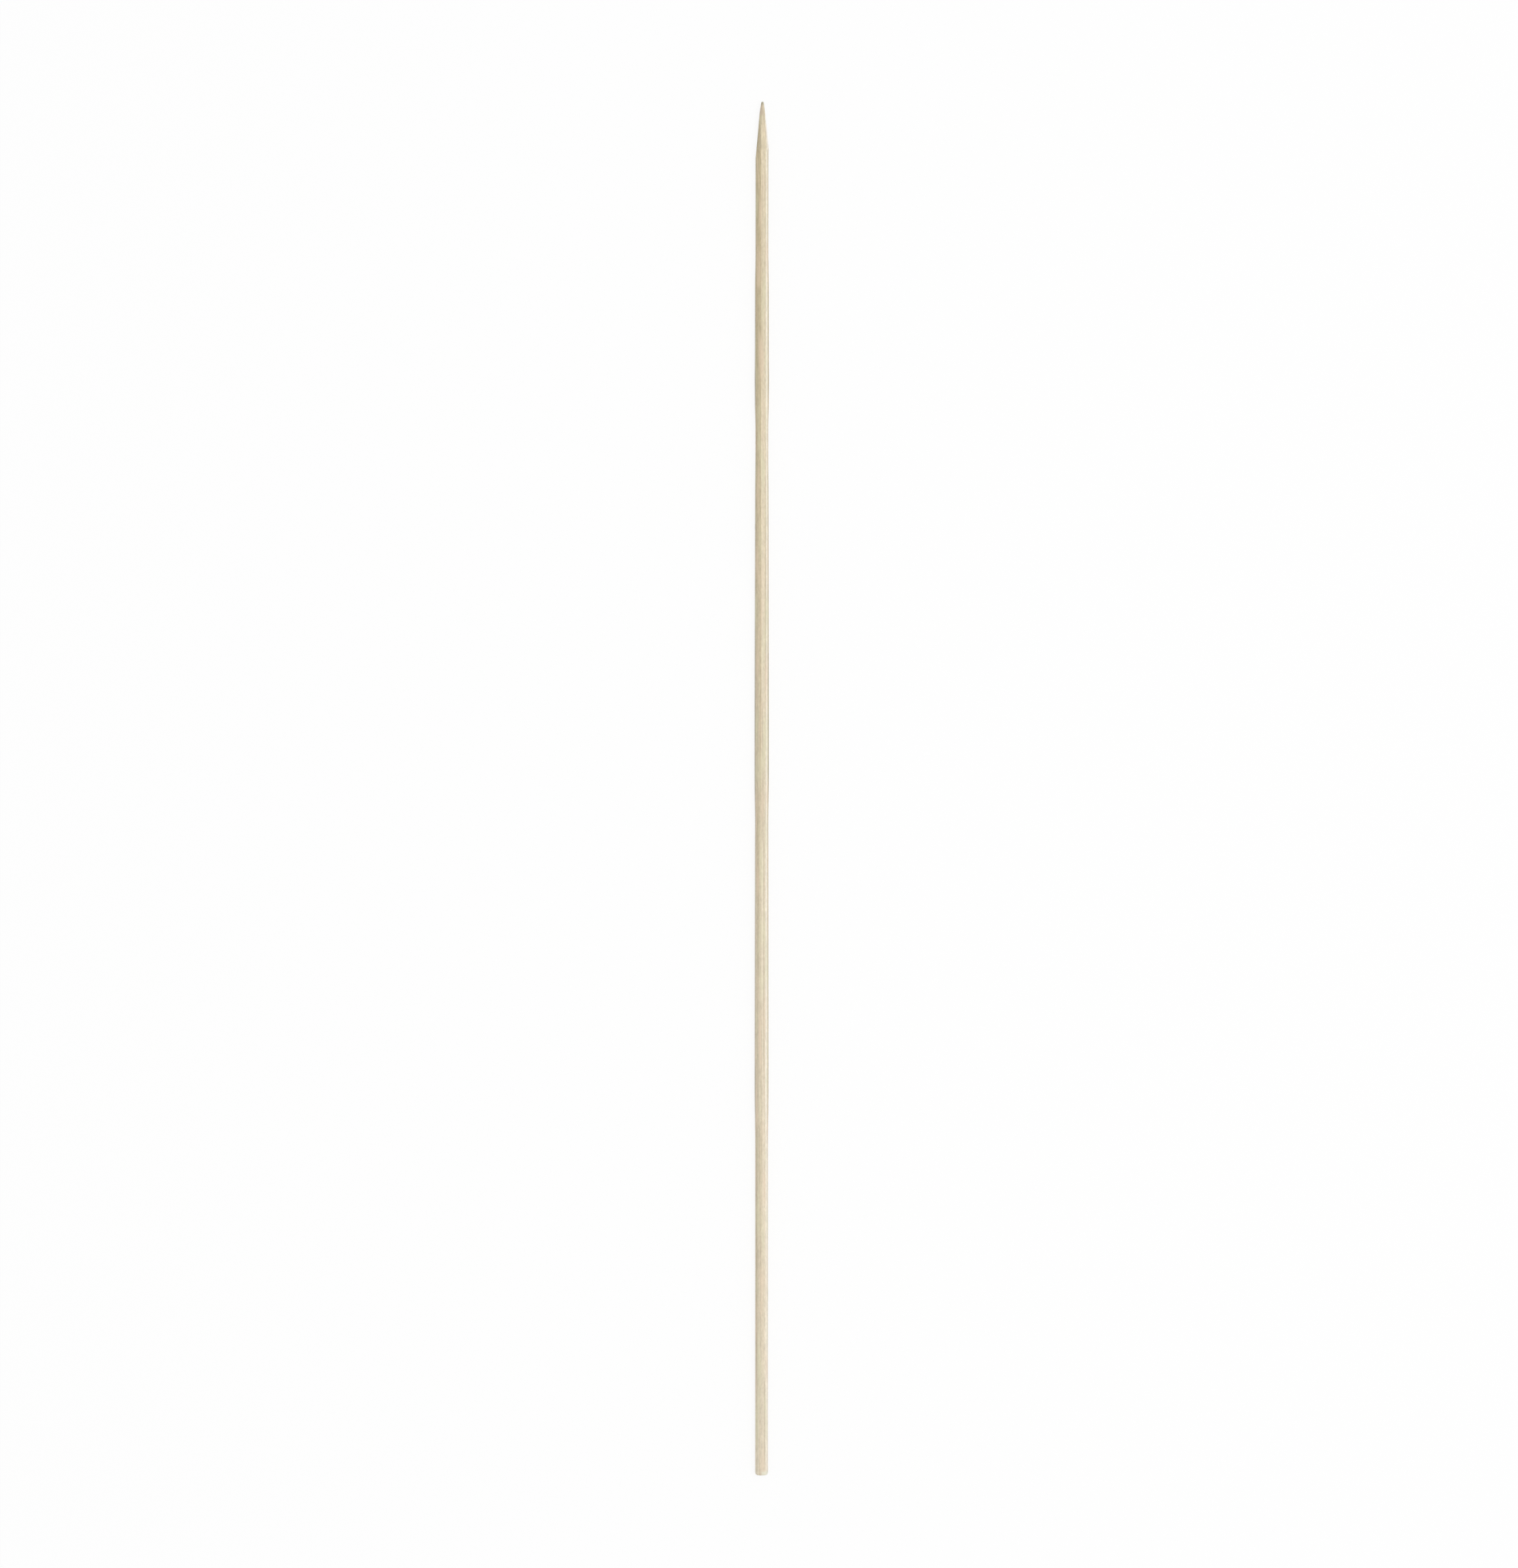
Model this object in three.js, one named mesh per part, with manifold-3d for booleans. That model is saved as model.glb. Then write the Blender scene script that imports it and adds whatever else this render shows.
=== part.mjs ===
// A bamboo skewer: one round stick with a point ground on one end and a square cut on the other.
// Millimetres, +Z up. It lies along Y with its point towards +Y. The origin is midway along it, on the
// surface that it lies on.

import * as THREE from 'three';
import { mergeVertices } from 'three/addons/utils/BufferGeometryUtils.js';
import Module from 'manifold-3d';

// Length and thickness of the stick
const skewerLength = 300;
const neckDiameter = 2.83;
const tailDiameter = 2.78;

// The stick isn't of one thickness. It has three long swells. Each starts quickly, goes on rising
// slowly to a level crest, and ends in a short fall towards the tail. startHeight and height are what a
// swell adds to the diameter where its slow rise starts and ends.
const swells = [
	{ startFromTip: 33, startHeight: 0.19, riseLength: 28, crestLength: 4, fallLength: 6.5, height: 0.26 },
	{ startFromTip: 77, startHeight: 0.09, riseLength: 57, crestLength: 12, fallLength: 17, height: 0.34 },
	{ startFromTip: 155, startHeight: 0.13, riseLength: 57, crestLength: 3, fallLength: 13, height: 0.26 },
];
const swellStartLength = 8;

// The low ridge that a joint of the bamboo's stem leaves in the stick
const jointFromTip = 60.5;
const jointLength = 9;
const jointHeight = 0.07;

// The ground point: a long straight flank, a steeper nose and a small blunt nib. The stick was held
// off the centre of the grinding wheel, so its shoulder runs round it at a slant.
const pointLength = 11.3;
const noseLength = 2.2;
const noseDiameter = 1.2;
const nibDiameter = 0.52;
const nibRounding = 0.16;
const noseBlendLength = 1.4;
const pointOffset = 0.1;

// The cut end, whose rim is worn round
const rimDepth = 0.55;
const rimWidth = 0.42;

// How finely the round and curved surfaces are divided
const sidesRound = 32;
const stepsPerStart = 5;
const stepsPerFall = 6;
const stepsPerJoint = 6;
const stepsPerRound = 4;
const leastStationGap = 1;

// How far the grinding form stands clear of the stick behind the point
const formClearance = 1;

const bambooColour = 0xd7ccb3;
const bambooRoughness = 0.8;

const wasm = await Module();
wasm.setup();

// A smooth fall from 1 to 0 as share goes from 0 to 1: half a cosine
function smoothFall(share) {
	return (1 + Math.cos(THREE.MathUtils.clamp(share, 0, 1) * Math.PI)) / 2;
}

// What one swell adds to the diameter: a smooth start, an even rise to a level crest, and a smooth fall
function swellHeight(swell, fromTip) {
	const beyondStart = fromTip - swell.startFromTip;
	const beyondCrest = beyondStart - swell.riseLength - swell.crestLength;
	const risen = THREE.MathUtils.clamp(beyondStart / swell.riseLength, 0, 1);
	const height = THREE.MathUtils.lerp(swell.startHeight, swell.height, risen);
	const started = 1 - smoothFall(beyondStart / swellStartLength);
	return height * started * smoothFall(beyondCrest / swell.fallLength);
}

// The stick tapers evenly from neck to tail, and the swells and the joint's ridge are added to that
function stickRadius(fromTip) {
	const taper = THREE.MathUtils.lerp(neckDiameter, tailDiameter, fromTip / skewerLength);
	const swelling = swells.reduce((sum, swell) => sum + swellHeight(swell, fromTip), 0);
	const ridge = jointHeight * smoothFall(Math.abs(fromTip - jointFromTip) / (jointLength / 2));
	return (taper + swelling + ridge) / 2;
}

// Places along the stick, from its tail to its neck, where its outline needs a point
function stationsFromTip() {
	const stations = [];
	for (const swell of swells) {
		const crestFromTip = swell.startFromTip + swell.riseLength;
		const fallFromTip = crestFromTip + swell.crestLength;
		for (let k = 0; k <= stepsPerStart; k++) {
			stations.push(swell.startFromTip + swellStartLength * k / stepsPerStart);
		}
		stations.push(crestFromTip);
		for (let k = 0; k <= stepsPerFall; k++) {
			stations.push(fallFromTip + swell.fallLength * k / stepsPerFall);
		}
	}
	for (let k = 0; k <= stepsPerJoint; k++) {
		stations.push(jointFromTip + jointLength * (k / stepsPerJoint - 0.5));
	}
	const tailmost = skewerLength - rimDepth - leastStationGap;
	const inside = stations.filter((place) => place > leastStationGap && place < tailmost);
	inside.sort((a, b) => b - a);
	return inside.filter((place, i) => i === 0 || inside[i - 1] - place >= leastStationGap);
}

// Points of a quarter ellipse between the ends of its two half axes, both ends included
function quarterRound(centreRadius, centreY, halfWidth, halfDepth, fromAngle, toAngle) {
	const points = [];
	for (let k = 0; k <= stepsPerRound; k++) {
		const angle = THREE.MathUtils.lerp(fromAngle, toAngle, k / stepsPerRound);
		const radius = centreRadius + halfWidth * Math.cos(angle);
		points.push(new THREE.Vector2(radius, centreY + halfDepth * Math.sin(angle)));
	}
	return points;
}

const tailY = -skewerLength / 2;
const tipY = skewerLength / 2;

// A closed solid turned round the Y axis. The outline runs from tail to tip and meets the axis at
// both ends; the triangles that shrink to nothing on the axis are left out.
function turnedSolid(outline) {
	const lathe = new THREE.LatheGeometry(outline, sidesRound);
	lathe.deleteAttribute('normal');
	lathe.deleteAttribute('uv');
	const merged = mergeVertices(lathe);
	const corners = merged.index.array;
	const kept = [];
	for (let i = 0; i < corners.length; i += 3) {
		const [a, b, c] = corners.slice(i, i + 3);
		if (a !== b && b !== c && c !== a) kept.push(a, b, c);
	}
	return new wasm.Manifold(new wasm.Mesh({
		numProp: 3,
		vertProperties: new Float32Array(merged.attributes.position.array),
		triVerts: new Uint32Array(kept),
	}));
}

// The stick before its point is ground: full length, square at the tip, with its worn rim at the tail
function stick() {
	const rimRadius = stickRadius(skewerLength - rimDepth);
	const rim = quarterRound(rimRadius - rimWidth, tailY + rimDepth, rimWidth, rimDepth, -Math.PI / 2, 0);
	const side = stationsFromTip().map((place) => new THREE.Vector2(stickRadius(place), tipY - place));
	return turnedSolid([
		new THREE.Vector2(0, tailY),
		...rim,
		...side,
		new THREE.Vector2(stickRadius(0), tipY),
		new THREE.Vector2(0, tipY),
	]);
}

// The form that grinding leaves, wide enough behind the point to hold the whole stick
function grindingForm(greatestRadius) {
	const noseRadius = noseDiameter / 2;
	const flankSlope = (neckDiameter / 2 - noseRadius) / (pointLength - noseLength);
	const noseSlope = (noseRadius - nibDiameter / 2) / noseLength;
	const wideRadius = greatestRadius + Math.abs(pointOffset) + formClearance;
	const wideFromTip = noseLength + (wideRadius - noseRadius) / flankSlope;
	const halfBlend = noseBlendLength / 2;
	const nose = new THREE.QuadraticBezierCurve(
		new THREE.Vector2(noseRadius + halfBlend * flankSlope, tipY - noseLength - halfBlend),
		new THREE.Vector2(noseRadius, tipY - noseLength),
		new THREE.Vector2(noseRadius - halfBlend * noseSlope, tipY - noseLength + halfBlend),
	);
	const nibFlat = nibDiameter / 2 - nibRounding;
	const nib = quarterRound(nibFlat, tipY - nibRounding, nibRounding, nibRounding, 0, Math.PI / 2);
	return turnedSolid([
		new THREE.Vector2(0, tailY - formClearance),
		new THREE.Vector2(wideRadius, tailY - formClearance),
		new THREE.Vector2(wideRadius, tipY - wideFromTip),
		...nose.getPoints(stepsPerRound),
		...nib,
		new THREE.Vector2(0, tipY),
	]).translate([pointOffset, 0, 0]);
}

function greatestStickRadius() {
	return Math.max(...stationsFromTip().map(stickRadius), stickRadius(0), stickRadius(skewerLength));
}

// The finished skewer: what the stick and the grinding form have in common
function skewerGeometry() {
	const ground = stick().intersect(grindingForm(greatestStickRadius())).getMesh();
	const geometry = new THREE.BufferGeometry();
	geometry.setAttribute('position', new THREE.BufferAttribute(new Float32Array(ground.vertProperties), 3));
	geometry.setIndex(new THREE.BufferAttribute(new Uint32Array(ground.triVerts), 1));
	geometry.computeVertexNormals();
	return geometry;
}

function skewerMesh() {
	const bamboo = new THREE.MeshStandardMaterial({
		color: bambooColour,
		roughness: bambooRoughness,
		metalness: 0,
	});
	const mesh = new THREE.Mesh(skewerGeometry(), bamboo);
	mesh.name = 'skewer';
	mesh.position.z = greatestStickRadius();
	return mesh;
}

const model = new THREE.Group();
model.add(skewerMesh());

export default model;
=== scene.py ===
# A bamboo skewer, dressed: the ground stick with its fibres, the splinters that lift from it, and a white
# stage. Metres, in the row frame: the stick lies along Y with its point towards +Y, on the surface z = 0.

import math

import bpy
import numpy as np
from bpy.props import FloatProperty, FloatVectorProperty, IntProperty, PointerProperty
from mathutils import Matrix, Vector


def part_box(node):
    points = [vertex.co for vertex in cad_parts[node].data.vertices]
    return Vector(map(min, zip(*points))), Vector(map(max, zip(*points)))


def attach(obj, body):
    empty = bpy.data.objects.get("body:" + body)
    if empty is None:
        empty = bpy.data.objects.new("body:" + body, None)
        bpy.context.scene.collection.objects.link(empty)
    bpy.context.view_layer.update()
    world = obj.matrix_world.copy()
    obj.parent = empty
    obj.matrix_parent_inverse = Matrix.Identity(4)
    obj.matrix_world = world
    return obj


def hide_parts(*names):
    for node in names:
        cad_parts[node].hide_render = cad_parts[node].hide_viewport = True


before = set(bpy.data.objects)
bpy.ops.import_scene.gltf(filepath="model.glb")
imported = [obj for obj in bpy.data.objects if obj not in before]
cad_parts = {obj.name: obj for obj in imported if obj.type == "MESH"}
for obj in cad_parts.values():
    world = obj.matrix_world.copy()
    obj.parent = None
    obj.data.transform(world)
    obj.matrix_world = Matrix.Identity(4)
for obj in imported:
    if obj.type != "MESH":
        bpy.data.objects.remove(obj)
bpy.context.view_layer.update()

bl_info = {
    "name": "Bamboo Skewer",
    "version": (1, 0, 0),
    "blender": (4, 5, 0),
    "location": "3D View > Sidebar > Skewer",
    "description": "Builds a round bamboo skewer with its fibres, splinters and a white stage",
    "category": "Add Mesh",
}

MM = 0.001
NODE = "skewer"
BODY = "root"
CAD_LOW, CAD_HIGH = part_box(NODE)
MATERIAL = "pale_bamboo"

# What the thickest swell adds to the stick's thickness, in millimetres
THICKEST_SWELL = 0.34


def linear(red, green, blue):
    """A colour given as 0 to 255 screen values, as the linear values that a shader takes. The numbers are
    those of the sRGB curve."""
    screen = np.array([red, green, blue]) / 255
    low, high = screen / 12.92, ((screen + 0.055) / 1.055) ** 2.4
    return tuple(np.where(screen <= 0.04045, low, high))


def length_property(name, text, millimetres):
    """A length that is set in metres and shown in the scene's own unit."""
    length = millimetres * MM
    return FloatProperty(
        name=name, description=text, default=length, subtype="DISTANCE", unit="LENGTH", precision=5
    )


def amount_property(name, text, default, most=1.0):
    """A plain number from nought to most."""
    return FloatProperty(name=name, description=text, default=default, min=0.0, max=most, precision=3)


def angle_property(name, text, degrees):
    """An angle that is set in radians and shown in degrees."""
    return FloatProperty(name=name, description=text, default=math.radians(degrees), subtype="ANGLE")


def colour_property(name, text, screen):
    """A colour, given here by its screen values."""
    return FloatVectorProperty(
        name=name, description=text, default=linear(*screen), subtype="COLOR", size=3, min=0.0, max=1.0
    )


class SkewerSizes(bpy.types.PropertyGroup):
    """The stick's own sizes. Its length and its height above the surface come from the frame."""

    neck_diameter: length_property("Neck", "Thickness just behind the point", 2.83)
    tail_diameter: length_property("Tail", "Thickness at the cut end", 2.78)
    swell_height: length_property("Swell", "What the thickest swell adds to the thickness", THICKEST_SWELL)
    joint_place: length_property("Joint", "From the tip to the low ridge that a joint leaves", 60.5)
    joint_length: length_property("Joint length", "Length of that ridge along the stick", 9)
    joint_height: length_property("Joint height", "What that ridge adds to the thickness", 0.07)
    point_length: length_property("Point", "From the tip to where the flank meets the neck", 11.3)
    nose_length: length_property("Nose", "From the tip to where the flank starts", 2.2)
    nose_diameter: length_property("Nose thickness", "Thickness where the flank starts", 1.2)
    nib_diameter: length_property("Nib", "Thickness of the blunt tip", 0.52)
    nib_rounding: length_property("Nib rounding", "Radius of the nib's rounded edge", 0.16)
    nose_blend: length_property("Nose blend", "Length over which nose and flank run together", 1.4)
    point_offset: length_property("Offset", "How far the point stands off the axis, towards +X", 0.1)
    rim_depth: length_property("Rim depth", "Length of the worn rim at the cut end", 0.55)
    rim_width: length_property("Rim width", "Width of the worn rim at the cut end", 0.42)
    skin: length_property("Skin", "How far the surface stays inside the solid's own outline", 0.004)
    sides: IntProperty(name="Sides", description="Vertices round the stick", default=120, min=24, max=240)


class SkewerRelief(bpy.types.PropertyGroup):
    """The fine relief that fibres and tools leave in the surface."""

    groove_count: IntProperty(name="Grooves", description="Open fibre grooves in the shaft", default=90)
    groove_depth: length_property("Groove depth", "Depth of the deepest fibre groove", 0.045)
    facet_depth: length_property("Facets", "Depth of the flats between the broad strips of fibre", 0.02)
    grinding_depth: length_property("Grinding", "Depth of the wheel's rings on the point", 0.006)
    saw_depth: length_property("Saw marks", "Depth of the roughness of the cut end", 0.03)
    splinter_count: IntProperty(name="Splinters", description="Fine fibres that lift", default=90)
    splinter_lift: length_property("Splinter lift", "How far the free end of a splinter stands off", 0.06)
    seed: IntProperty(name="Seed", description="Start of the random placing", default=11)


class SkewerFinish(bpy.types.PropertyGroup):
    """Colours and surface of dry, unvarnished bamboo. Some colours also stand for painted shade and painted
    light, as noted at each.
    """

    # Tan and ochre, on the left (-X) away from the lamp, are darker partly as painted shade
    pale: colour_property("Pale wood", "Nearer the stem's hollow, towards the cut end", (226, 213, 189))
    straw: colour_property("Straw wood", "Nearer the stem's hollow, towards the point", (217, 203, 174))
    tan: colour_property("Tan wood", "Nearer the stem's skin, towards the cut end", (210, 197, 172))
    ochre: colour_property("Ochre wood", "Nearer the stem's skin, towards the point", (190, 175, 141))
    # Partly painted light: the light strips on the side towards the lamp; near the cut end, the wood's own
    # pale tone
    light: colour_property("Light strip", "Strips where the cut runs along one pale layer", (243, 235, 219))
    # Mostly painted shade: the dark strips along the stick's outline seen from above
    dark: colour_property("Dark strip", "Strips of dense fibre", (168, 161, 141))
    fibre: colour_property("Fibre", "Cut ends and sides of the fibre bundles", (176, 156, 118))
    # In the grooves this colour is painted shade; in the pores it is their own dark colour
    crevice: colour_property("Crevice", "The bottom of an open groove", (150, 134, 104))
    # Both are painted shade on the point, strongest on its left (-X) side away from the lamp
    nib: colour_property("Nib", "The rubbed tip of the point", (190, 172, 152))
    nib_end: colour_property("Nib end", "The blunt end of the tip", (158, 152, 128))
    # A painted highlight where the rounded rim of the cut end faces the lamp, on its right (+X) side
    rim: colour_property("Rim", "The worn side of the rim at the cut end", (226, 227, 208))
    blush: colour_property("Blush", "Faint reddish clouds in the wood", (226, 203, 178))
    green: colour_property("Green", "Faint greenish clouds in the wood", (216, 213, 178))
    roughness: amount_property("Roughness", "Mean roughness of the sanded surface", 0.56)
    specular: amount_property("Specular", "Strength of the surface's gloss", 0.45)
    bump: length_property("Bump", "Height of the finest fibre relief", 0.012)


class SkewerStage(bpy.types.PropertyGroup):
    """The floor, the lamps and the camera."""

    floor_size: FloatProperty(name="Floor", description="Side of the floor", default=8.0, unit="LENGTH")
    floor_gap: length_property("Floor gap", "How far the floor lies below the stick", 0.02)
    floor_white: amount_property("Floor white", "Share of the floor's look that shadows leave white", 0.85)
    sky: amount_property("Sky", "Strength of the even light from all round", 0.7, 5.0)
    key_power: FloatProperty(
        name="Key", description="Power of the large lamp on the right", default=7.0, unit="POWER"
    )
    key_size: FloatProperty(
        name="Key size", description="Side of the large lamp", default=0.9, unit="LENGTH"
    )
    key_height: angle_property("Key height", "Angle of the large lamp above the floor", 78)
    key_distance: FloatProperty(
        name="Key distance", description="From the stick to the lamp", default=1.3, unit="LENGTH"
    )
    camera_height: FloatProperty(
        name="Camera height", description="Camera above the floor", default=1.0, unit="LENGTH"
    )
    long_view: FloatProperty(
        name="View", description="Length that the picture's long side shows", default=0.34316, unit="LENGTH"
    )
    view_right: length_property("Right", "How far the view's middle lies right of the stick's", -0.61)
    view_up: length_property("Up", "How far the view's middle lies above the stick's", 0.95)
    view_roll: angle_property("Roll", "How far the picture's upright edge is turned from the stick", 0.022)


# Outline of the stick

# Of each swell: its start from the tip, the lengths of its rise, its level crest and its fall, and its
# height at the start and at the end of the rise, as shares of the thickest one's
SWELLS = (
    (33 * MM, 28 * MM, 4 * MM, 6.5 * MM, 0.19 / THICKEST_SWELL, 0.26 / THICKEST_SWELL),
    (77 * MM, 57 * MM, 12 * MM, 17 * MM, 0.09 / THICKEST_SWELL, 1.0),
    (155 * MM, 57 * MM, 3 * MM, 13 * MM, 0.13 / THICKEST_SWELL, 0.26 / THICKEST_SWELL),
)
SWELL_START = 8 * MM

# How closely the rings lie: the steps round a turned edge, the gaps between rings on the point, on the
# shaft and near the cut end, and the lengths of the two ends that are finely divided
EDGE_STEPS = 8
POINT_GAP = 0.12 * MM
SHAFT_GAP = 0.68 * MM
TAIL_GAP = 0.2 * MM
FINE_POINT = 14.5 * MM
FINE_TAIL = 14 * MM
# The gap behind the nib's rounding, how far out the rings on the nib's flat lie, and how many rings cross
# the cut end
NIB_GAP = 0.1 * MM
NIB_FLAT_SHARES = (0.35, 0.7)
CUT_END_RINGS = 12

# The rings' centres lie on the point's axis near the tip and on the stick's further back. This is how far
# from the tip they reach the stick's, in double lengths of the point. They leave the point's axis one such
# double length nearer the tip.
CENTRE_REACH = 1.35


def stick_length():
    """The stick's length in the frame."""
    return CAD_HIGH.y - CAD_LOW.y


def axis_height():
    """The height of the stick's axis above the surface that it lies on."""
    return (CAD_LOW.z + CAD_HIGH.z) / 2


def smooth_fall(share):
    """From one to nought as share goes from nought to one: half a cosine."""
    return (1 + np.cos(np.clip(share, 0, 1) * np.pi)) / 2


def swelling(from_tip):
    """The height of the swells as a share of the thickest one's. Each starts as half a cosine, rises evenly
    to its crest, and drops as half a cosine over its fall."""
    total = 0 * from_tip
    for start, rise, crest, fall, low, high in SWELLS:
        beyond = from_tip - start
        height = low + (high - low) * np.clip(beyond / rise, 0, 1)
        started = 1 - smooth_fall(beyond / SWELL_START)
        total = total + height * started * smooth_fall((beyond - rise - crest) / fall)
    return total


def stick_radius(sizes, from_tip):
    """Half of the thickness: an even taper from neck to tail, plus the swells and the joint's ridge."""
    share = from_tip / stick_length()
    diameter = sizes.neck_diameter * (1 - share) + sizes.tail_diameter * share
    ridge = smooth_fall(np.abs(from_tip - sizes.joint_place) / (sizes.joint_length / 2))
    return (diameter + sizes.swell_height * swelling(from_tip) + sizes.joint_height * ridge) / 2


def point_radius(sizes, from_tip):
    """The ground form's radius: a round nib, a straight nose, and a straight flank that goes on past the
    shoulder. Nose and flank run together along a parabola."""
    nose, nib = sizes.nose_diameter / 2, sizes.nib_diameter / 2
    flank_slope = (sizes.neck_diameter / 2 - nose) / (sizes.point_length - sizes.nose_length)
    nose_slope = (nose - nib) / sizes.nose_length
    offset = from_tip - sizes.nose_length
    half = sizes.nose_blend / 2
    flank = nose + flank_slope * offset
    straight = nose + nose_slope * offset
    bend = (half - np.clip(offset, -half, half)) ** 2 / (4 * half) * (flank_slope - nose_slope)
    radius = np.where(offset > half, flank, np.where(offset < -half, straight, flank + bend))
    depth = np.clip(from_tip / sizes.nib_rounding, 0, 1)
    rounded = nib - sizes.nib_rounding * (1 - np.sqrt(1 - (1 - depth) ** 2))
    return np.where(from_tip < sizes.nib_rounding, rounded, radius)


def ring_places(sizes):
    """Each ring's distance from the tip and how much of its full radius it has. The first rings cross the
    nib's flat, then they follow the nib's rounding, the point, the shaft and the worn rim, and the last
    cross the cut end. Rings lie closer together where the shape turns."""
    length = stick_length()
    turn = np.linspace(0, np.pi / 2, EDGE_STEPS + 1)
    nib = sizes.nib_rounding * (1 - np.cos(turn))
    point = np.arange(sizes.nib_rounding + NIB_GAP, FINE_POINT, POINT_GAP)
    shaft = np.arange(FINE_POINT, length - FINE_TAIL, SHAFT_GAP)
    tail = np.arange(length - FINE_TAIL, length - sizes.rim_depth, TAIL_GAP)
    rim = length - sizes.rim_depth * (1 - np.sin(turn))
    side = np.concatenate([nib, point, shaft, tail, rim])
    flat_shares = np.array(NIB_FLAT_SHARES)
    end_shares = np.linspace(1, 0, CUT_END_RINGS + 2)[1:-1]
    along = np.concatenate([0 * flat_shares, side, length + 0 * end_shares])
    share = np.concatenate([flat_shares, np.ones(len(side)), end_shares])
    return along, share


def outline(sizes, angle, from_tip):
    """For each angle round the stick, from its top towards +X, and each place from the tip: the centre's
    shift towards +X, and the radius from there. The surface is where the stick and the ground form, whose
    axis is shifted, both end, so the nearer of the two circles counts along each ray."""
    shift = sizes.point_offset * np.clip(CENTRE_REACH - from_tip / (2 * sizes.point_length), 0, 1)
    length = stick_length()
    worn = np.clip((from_tip - length + sizes.rim_depth) / sizes.rim_depth, 0, 1)
    wear = sizes.rim_width * (1 - np.sqrt(1 - worn**2))

    def along_ray(centre, radius):
        gap = centre - shift
        return gap * np.sin(angle) + np.sqrt(np.maximum(radius**2 - (gap * np.cos(angle)) ** 2, 0))

    stick = along_ray(0, stick_radius(sizes, from_tip) - wear)
    ground = along_ray(sizes.point_offset, point_radius(sizes, from_tip))
    return shift, np.minimum(stick, ground), ground < stick


# Fine relief

# The grooves' half widths in degrees, their half lengths in millimetres, the square roots of their depths,
# the spread of their paths' turn in radians to a metre, and the share of its half length in which a groove
# is at its full depth
GROOVE_WIDTHS = (1.2, 3.6)
GROOVE_HALVES = (6, 48)
GROOVE_DEPTH_ROOTS = (0.15, 1)
GROOVE_DRIFT = 0.5
GROOVE_DEEP_SHARE = 0.7
# The long groove that shows on the upper side near the cut end: its angle from the stick's top towards +X,
# its half width, the place of its middle from the tip, its half length, and its depth
LONG_GROOVE_ANGLE = math.radians(31.5)
LONG_GROOVE_WIDTH = math.radians(3.0)
LONG_GROOVE_MIDDLE = 288 * MM
LONG_GROOVE_HALF = 10.5 * MM
LONG_GROOVE_DEPTH = 0.85
# The palest strip: its middle and half width from the stick's top towards +X, how much of that is wholly
# pale, and how much of a groove it closes
PALE_MIDDLE = math.radians(44)
PALE_HALF = math.radians(9)
PALE_CORE = 0.4
PALE_CLOSES = 0.85
# How deep the grooves that cross the ground point are, as a share of those on the shaft
GROUND_GROOVES = 0.45
# Of each wave of the broad flats: how many times it goes round the stick, its drift along the stick in
# radians to a metre, and where it starts
FLAT_WAVES = ((7, 9, 0), (11, -14, 1), (5, 0, 2))
# The wheel's rings: radians to a millimetre, how far they bend, and how many times round the point
RING_RATE = 15
RING_BEND = 2
RING_LOBES = 3
# The roughness of the cut end: for the wave across and the wave up, its radians to a millimetre, how far it
# is bent, and the radians to a millimetre of the bend; and how far in from the rim it is at its full depth,
# as a share of the radius
END_WAVES = ((9, 2, 5), (8, 1.5, 7))
END_FADE = 0.3


def turn_gap(angle, centre):
    """The angle from centre, the short way round."""
    return (angle - centre + np.pi) % (2 * np.pi) - np.pi


def smooth(low, high, value):
    """Nought below low and one above high, with a smooth step between."""
    t = np.clip((value - low) / (high - low), 0, 1)
    return t * t * (3 - 2 * t)


def fibre_grooves(relief, angle, from_tip):
    """The depth of open fibre grooves, from 0 to 1 of the deepest. Each groove is a narrow bell across the
    stick, follows an angle that drifts slowly along it, and fades out at both of its ends. The palest strip
    is one smooth layer, which grooves hardly open."""
    rng = np.random.default_rng(relief.seed)
    count = relief.groove_count
    centre = rng.uniform(-np.pi, np.pi, count)
    drift = rng.normal(0, GROOVE_DRIFT, count)
    width = np.radians(rng.uniform(*GROOVE_WIDTHS, count))
    middle = rng.uniform(0, stick_length(), count)
    half = rng.uniform(*GROOVE_HALVES, count) * MM
    depth = rng.uniform(*GROOVE_DEPTH_ROOTS, count) ** 2
    centre[0], drift[0], width[0] = LONG_GROOVE_ANGLE, 0.0, LONG_GROOVE_WIDTH
    middle[0], half[0], depth[0] = LONG_GROOVE_MIDDLE, LONG_GROOVE_HALF, LONG_GROOVE_DEPTH
    total = np.zeros(np.broadcast_shapes(angle.shape, from_tip.shape))
    for k in range(count):
        path = centre[k] + drift[k] * (from_tip - middle[k])
        ends = smooth(half[k], half[k] * GROOVE_DEEP_SHARE, np.abs(from_tip - middle[k]))
        pale = smooth(PALE_HALF, PALE_CORE * PALE_HALF, np.abs(turn_gap(path, PALE_MIDDLE)))
        bell = np.exp(-((turn_gap(angle, path) / width[k]) ** 2))
        total = np.maximum(total, depth[k] * (1 - PALE_CLOSES * pale) * ends * bell)
    return total


def broad_flats(angle, from_tip):
    """Flats between the broad strips of fibre, from 0 to 1: slow waves round the stick, of several counts,
    whose phase drifts along it."""
    waves = sum(np.cos(count * angle + drift * from_tip + start) for count, drift, start in FLAT_WAVES)
    return (1 - waves / len(FLAT_WAVES)) / 2


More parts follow.
